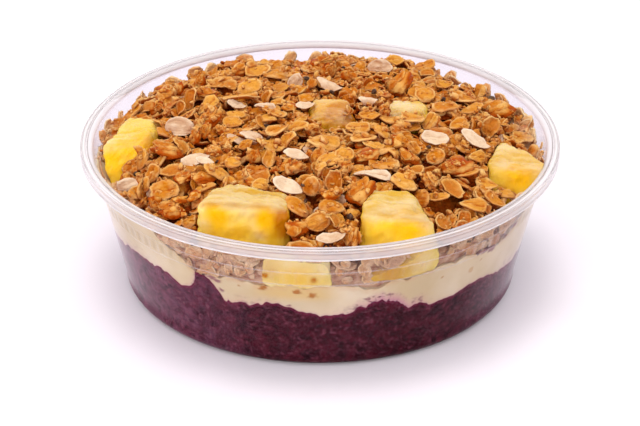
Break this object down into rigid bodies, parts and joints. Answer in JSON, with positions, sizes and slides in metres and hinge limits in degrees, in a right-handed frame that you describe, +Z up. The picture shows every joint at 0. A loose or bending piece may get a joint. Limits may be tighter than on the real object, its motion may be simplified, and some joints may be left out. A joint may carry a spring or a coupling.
{
  "type": "acai bowl",
  "caption": "Round clear takeaway bowl of acai puree under a poured cream layer, topped with a heap of oat granola and pineapple chunks.",
  "frame": {"origin": "centre of the bowl's base, on the surface that it stands on", "axes": "+Z up; -Y towards the side that the view of the object faces"},
  "size_m": [0.158, 0.158, 0.059],
  "materials": {
    "clear_plastic": "thin clear moulded polypropylene, slightly milky at the rim",
    "acai": "thick wet dark purple fruit puree, grainy",
    "cream": "smooth pale yellow poured cream",
    "granola": "toasted rolled oats with pale flakes, crumbs and dark seeds",
    "pineapple": "wet yellow fruit flesh with paler edges"
  },
  "bodies": {
    "root": {"bowl": "clear_plastic", "acai_layer": "acai", "cream_layer": "cream", "granola_heap": "granola", "pineapple_1": "pineapple", "pineapple_2": "pineapple", "pineapple_3": "pineapple", "pineapple_4": "pineapple", "pineapple_5": "pineapple", "pineapple_6": "pineapple", "pineapple_7": "pineapple"}
  },
  "joints": []
}
